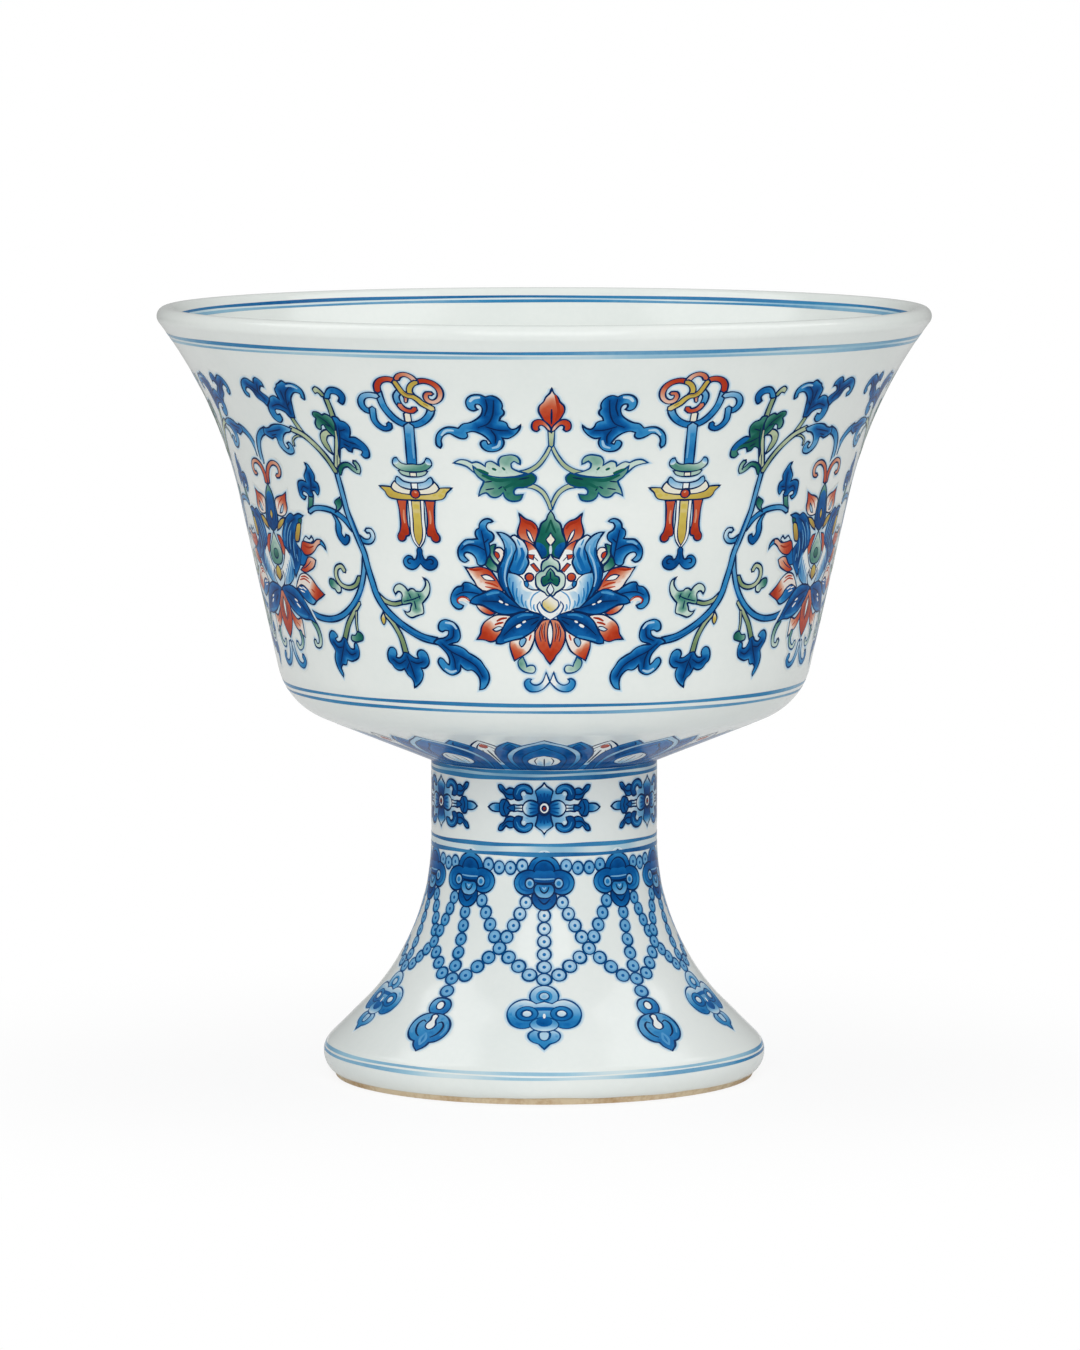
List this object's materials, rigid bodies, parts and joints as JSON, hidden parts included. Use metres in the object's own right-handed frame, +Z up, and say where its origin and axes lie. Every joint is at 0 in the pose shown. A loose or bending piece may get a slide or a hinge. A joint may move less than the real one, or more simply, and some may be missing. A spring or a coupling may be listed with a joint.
{
  "type": "stem cup",
  "caption": "Porcelain stem cup: a deep bowl with a flared lip, luted onto a hollow spreading stem, clear glazed, with a bare foot ring to stand on.",
  "frame": {"origin": "centre of the foot ring, on the surface that the cup stands on", "axes": "+Z up along the axis of the bowl and stem"},
  "size_m": [0.148, 0.148, 0.148],
  "materials": {
    "porcelain": "unglazed, burnt pale tan at the foot ring",
    "slip": "fired porcelain slip",
    "glaze": "clear gloss, cool white",
    "painted_glaze": "clear gloss over cobalt painting, with red, green and yellow enamels on top"
  },
  "bodies": {
    "root": {"bowl_body": "porcelain", "stem_body": "porcelain", "luting_slip": "slip", "bowl_outside_glaze": "painted_glaze", "bowl_inside_glaze": "glaze", "stem_outside_glaze": "painted_glaze", "stem_inside_glaze": "glaze"}
  },
  "joints": []
}
